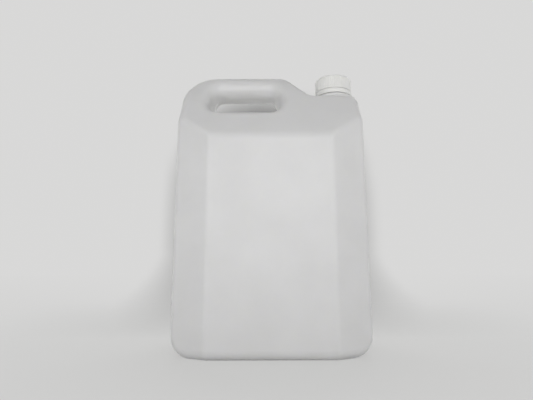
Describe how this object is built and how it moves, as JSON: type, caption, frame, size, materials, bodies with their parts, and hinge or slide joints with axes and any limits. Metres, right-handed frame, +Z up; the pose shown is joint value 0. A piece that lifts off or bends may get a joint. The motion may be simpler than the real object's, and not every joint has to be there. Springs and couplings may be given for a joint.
{
  "type": "plastic jerrycan",
  "caption": "Upright blow-moulded polyethylene can for liquids with a moulded-in handle loop, flat front panel between shallow facets, sloping shoulder and a screw-capped neck.",
  "frame": {"origin": "centre of the can's footprint on the surface it stands on, in the moulding's parting plane", "axes": "+Z up along the height, +X along the width towards the neck, front panel facing -Y"},
  "size_m": [0.1876, 0.126, 0.2911],
  "materials": {
    "natural_polyethylene": "milky translucent, soft satin sheen of blown polyethylene",
    "white_cap_plastic": "moulded white, satin",
    "liner_foam": "white foam"
  },
  "bodies": {
    "can": {"can_body": "natural_polyethylene", "tamper_band": "white_cap_plastic"},
    "liner": {"cap_liner": "liner_foam"},
    "cap": {"cap": "white_cap_plastic"}
  },
  "joints": [
    {"name": "cap_lift", "type": "slide", "parent": "can", "child": "liner", "axis": [0, 0, 1], "range_m": [0, 0.0162]},
    {"name": "cap_turn", "type": "hinge", "parent": "liner", "child": "cap", "pos_m": [0.072, 0, 0.2754], "axis": [0, 0, 1], "range_deg": [0, 1440]}
  ],
  "couplings": [
    {"joint": "cap_lift", "follows": "cap_turn", "m_per_rad": 0.00063662}
  ]
}
